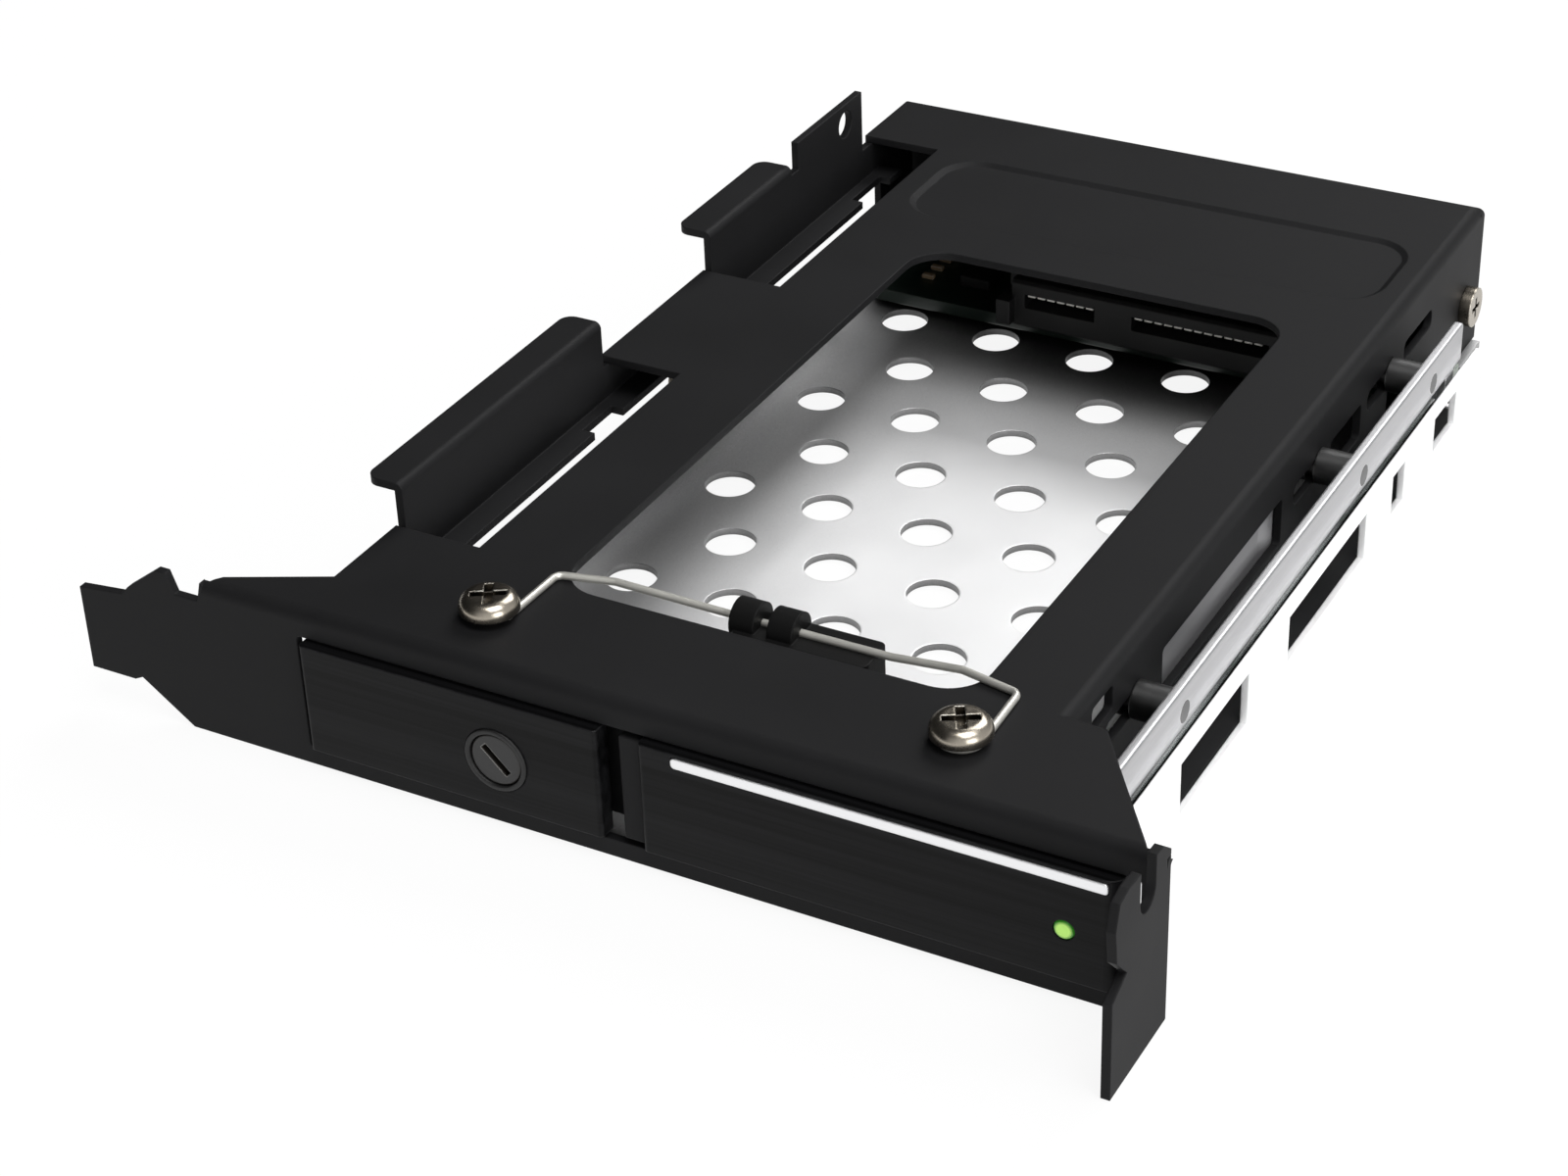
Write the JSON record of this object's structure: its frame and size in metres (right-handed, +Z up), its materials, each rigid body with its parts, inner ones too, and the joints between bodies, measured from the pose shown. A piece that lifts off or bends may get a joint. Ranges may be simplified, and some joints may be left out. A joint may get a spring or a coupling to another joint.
{
  "type": "expansion slot mobile rack",
  "caption": "Rack on a card slot bracket for a slim drive, with hinged locking door, perforated tray, ejection slider and rear board sockets.",
  "frame": {"origin": "centre of the footprint, at the underside of the slot panel and the tray", "axes": "X along the slot bracket, screw tab at +X; Y from the front panel to the rear wall; Z up through the drive's thickness"},
  "size_m": [0.12, 0.1464, 0.0255],
  "materials": {
    "black_paint": "satin, fine texture",
    "bright_steel": "bright, fine grain",
    "spring_steel": "drawn",
    "board_green": "solder mask",
    "black_plastic": "moulded",
    "contact_metal": "plated",
    "lamp_green": "clear moulding",
    "clear_plastic": "clear moulding",
    "pin_steel": "turned",
    "screw_nickel": "nickel plated",
    "pad_rubber": "moulded",
    "black_aluminium": "brushed, black anodised",
    "bare_aluminium": "brushed",
    "dark_brass": "worn black plating"
  },
  "bodies": {
    "rack": {"chassis": "black_paint", "side_rail": "black_paint", "drive_tray": "bright_steel", "guide_strip": "spring_steel", "backplane_board": "board_green", "drive_connector": "black_plastic", "drive_contacts": "contact_metal", "data_socket": "black_plastic", "power_socket": "black_plastic", "status_lamp": "lamp_green", "light_rod": "clear_plastic", "hinge_bracket": "black_paint", "hinge_pin": "pin_steel", "cover_screws": "screw_nickel", "press_nuts": "pin_steel", "tray_screws": "screw_nickel", "board_screws": "screw_nickel", "hold_down_wire": "spring_steel", "hold_down_pad": "pad_rubber"},
    "door": {"door_front": "black_aluminium", "door_strip": "bare_aluminium", "lamp_lens": "lamp_green", "door_carrier": "black_paint", "link_pin": "pin_steel", "door_screws": "screw_nickel"},
    "latch": {"latch_button": "black_aluminium", "latch_spring": "spring_steel", "lock_sleeve": "black_plastic"},
    "lock": {"lock_cylinder": "dark_brass", "lock_cam": "pin_steel"},
    "slider": {"eject_slider": "bright_steel", "slider_studs": "pin_steel"}
  },
  "joints": [
    {"name": "door_hinge", "type": "hinge", "parent": "rack", "child": "door", "pos_m": [0.05361, -0.0592, 0.0088], "axis": [0, 0, 1], "range_deg": [0, 90]},
    {"name": "latch_slide", "type": "slide", "parent": "door", "child": "latch", "axis": [1, 0, 0], "range_m": [0, 0.0018], "stiffness_N_per_m": 250, "springref_m": -0.002, "deforming": ["latch_spring"]},
    {"name": "lock_turn", "type": "hinge", "parent": "latch", "child": "lock", "pos_m": [-0.00919, -0.0618, 0.0082], "axis": [0, -1, 0], "range_deg": [0, 90]},
    {"name": "slider_slide", "type": "slide", "parent": "rack", "child": "slider", "axis": [0, -1, 0], "range_m": [0, 0.0063]}
  ],
  "couplings": [
    {"joint": "slider_slide", "follows": "door_hinge", "m_per_rad": 0.0039614}
  ]
}
